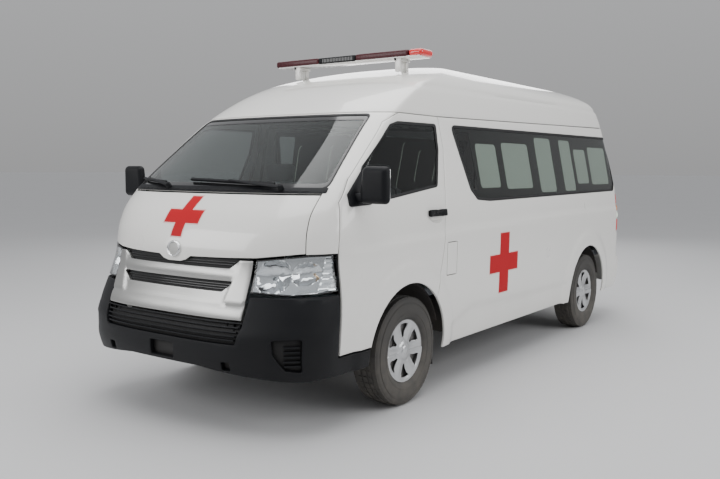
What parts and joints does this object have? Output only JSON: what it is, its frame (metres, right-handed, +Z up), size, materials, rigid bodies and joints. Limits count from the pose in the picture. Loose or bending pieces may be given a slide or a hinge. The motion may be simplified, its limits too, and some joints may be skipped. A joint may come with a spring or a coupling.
{
  "type": "high-roof ambulance van",
  "caption": "High-roof van ambulance with hinged cab doors, bonnet and tailgate, steered front wheels, a roof lamp bar and a furnished patient space.",
  "frame": {"origin": "on the ground, under the middle of the whole vehicle", "axes": "+Z up, -Y is the direction of travel, +X is the driver side (the vehicle's left)"},
  "size_m": [2.2438, 5.38, 2.296],
  "materials": {
    "body_paint": "glossy white paint",
    "black_plastic": "unpainted grained plastic",
    "bright_plate": "satin bright plate",
    "lamp_clear": "clear moulded lens",
    "lamp_red": "red moulded lens",
    "window_glass": "tinted glass",
    "windscreen_glass": "laminated glass",
    "rubber": "black rubber",
    "tyre": "worn tread rubber",
    "rim": "silver lacquer",
    "frame_steel": "black chassis paint",
    "axle_steel": "cast and painted steel",
    "floor_vinyl": "hard-wearing floor covering",
    "trim": "grained cab trim",
    "seat_fabric": "woven seat cloth",
    "bench_vinyl": "wipe-clean vinyl",
    "cabinet_board": "laminated board",
    "stretcher_frame": "anodised tube"
  },
  "bodies": {
    "body": {"floor_pan": "floor_vinyl", "wheel_housings": "black_plastic", "side_panel_left": "body_paint", "side_panel_right": "body_paint", "roof_panel": "body_paint", "windscreen_frame": "body_paint", "front_fenders": "body_paint", "front_bumper": "black_plastic", "grille": "bright_plate", "headlamps": "lamp_clear", "windscreen": "windscreen_glass", "side_glass_left": "window_glass", "side_glass_right": "window_glass", "sliding_door": "body_paint", "tail_lamps": "lamp_red", "rear_bumper": "body_paint", "mud_flaps": "rubber", "light_bar": "lamp_red", "light_bar_feet": "body_paint", "wipers": "black_plastic", "dashboard": "trim", "front_seats": "seat_fabric", "attendant_bench": "bench_vinyl", "cabinet": "cabinet_board", "stretcher": "stretcher_frame", "engine": "axle_steel", "chassis_rails": "frame_steel", "cross_members": "frame_steel", "front_suspension": "frame_steel", "leaf_springs": "frame_steel", "rear_axle": "axle_steel", "exhaust": "axle_steel", "fuel_tank": "black_plastic", "spare_wheel": "tyre"},
    "front_door_left": {"front_door_left": "body_paint", "door_glass_left": "window_glass", "mirror_left": "black_plastic"},
    "front_door_right": {"front_door_right": "body_paint", "door_glass_right": "window_glass", "mirror_right": "black_plastic"},
    "bonnet": {"bonnet": "body_paint"},
    "tailgate": {"tailgate": "body_paint", "tailgate_glass": "window_glass"},
    "fuel_lid": {"fuel_lid": "body_paint"},
    "steering_wheel": {"steering_wheel": "trim"},
    "knuckle_left": {"knuckle_left": "axle_steel"},
    "knuckle_right": {"knuckle_right": "axle_steel"},
    "wheel_front_left": {"tyre_front_left": "tyre", "rim_front_left": "rim"},
    "wheel_front_right": {"tyre_front_right": "tyre", "rim_front_right": "rim"},
    "wheel_rear_left": {"tyre_rear_left": "tyre", "rim_rear_left": "rim"},
    "wheel_rear_right": {"tyre_rear_right": "tyre", "rim_rear_right": "rim"}
  },
  "joints": [
    {"name": "left_door_hinge", "type": "hinge", "parent": "body", "child": "front_door_left", "pos_m": [0.943, -2.224, 0.75], "axis": [0, 0, -1], "range_deg": [0, 65]},
    {"name": "right_door_hinge", "type": "hinge", "parent": "body", "child": "front_door_right", "pos_m": [-0.943, -2.224, 0.75], "axis": [0, 0, 1], "range_deg": [0, 65]},
    {"name": "bonnet_hinge", "type": "hinge", "parent": "body", "child": "bonnet", "pos_m": [0, -2.352, 1.342], "axis": [-1, 0, 0], "range_deg": [0, 45]},
    {"name": "tailgate_hinge", "type": "hinge", "parent": "body", "child": "tailgate", "pos_m": [0, 2.45, 1.893], "axis": [1, 0, 0], "range_deg": [0, 85]},
    {"name": "fuel_lid_hinge", "type": "hinge", "parent": "body", "child": "fuel_lid", "pos_m": [0.944, -1.063, 0.88], "axis": [0, 0, -1], "range_deg": [0, 100]},
    {"name": "steering_left", "type": "hinge", "parent": "body", "child": "knuckle_left", "pos_m": [0.74, -1.52, 0.343], "axis": [0, 0, 1], "range_deg": [-32, 32]},
    {"name": "steering_right", "type": "hinge", "parent": "body", "child": "knuckle_right", "pos_m": [-0.74, -1.52, 0.343], "axis": [0, 0, 1], "range_deg": [-32, 32]},
    {"name": "steering_column", "type": "hinge", "parent": "body", "child": "steering_wheel", "pos_m": [0.4, -1.895, 1.17], "axis": [0, 0.6157, 0.788], "range_deg": [-480, 480]},
    {"name": "front_left_spin", "type": "hinge", "parent": "knuckle_left", "child": "wheel_front_left", "pos_m": [0.8275, -1.52, 0.343], "axis": [1, 0, 0], "continuous": true},
    {"name": "front_right_spin", "type": "hinge", "parent": "knuckle_right", "child": "wheel_front_right", "pos_m": [-0.8275, -1.52, 0.343], "axis": [1, 0, 0], "continuous": true},
    {"name": "rear_left_spin", "type": "hinge", "parent": "body", "child": "wheel_rear_left", "pos_m": [0.8275, 1.59, 0.343], "axis": [1, 0, 0], "continuous": true},
    {"name": "rear_right_spin", "type": "hinge", "parent": "body", "child": "wheel_rear_right", "pos_m": [-0.8275, 1.59, 0.343], "axis": [1, 0, 0], "continuous": true}
  ],
  "couplings": [
    {"joint": "steering_right", "follows": "steering_left", "ratio": 1},
    {"joint": "steering_column", "follows": "steering_left", "ratio": 14}
  ]
}
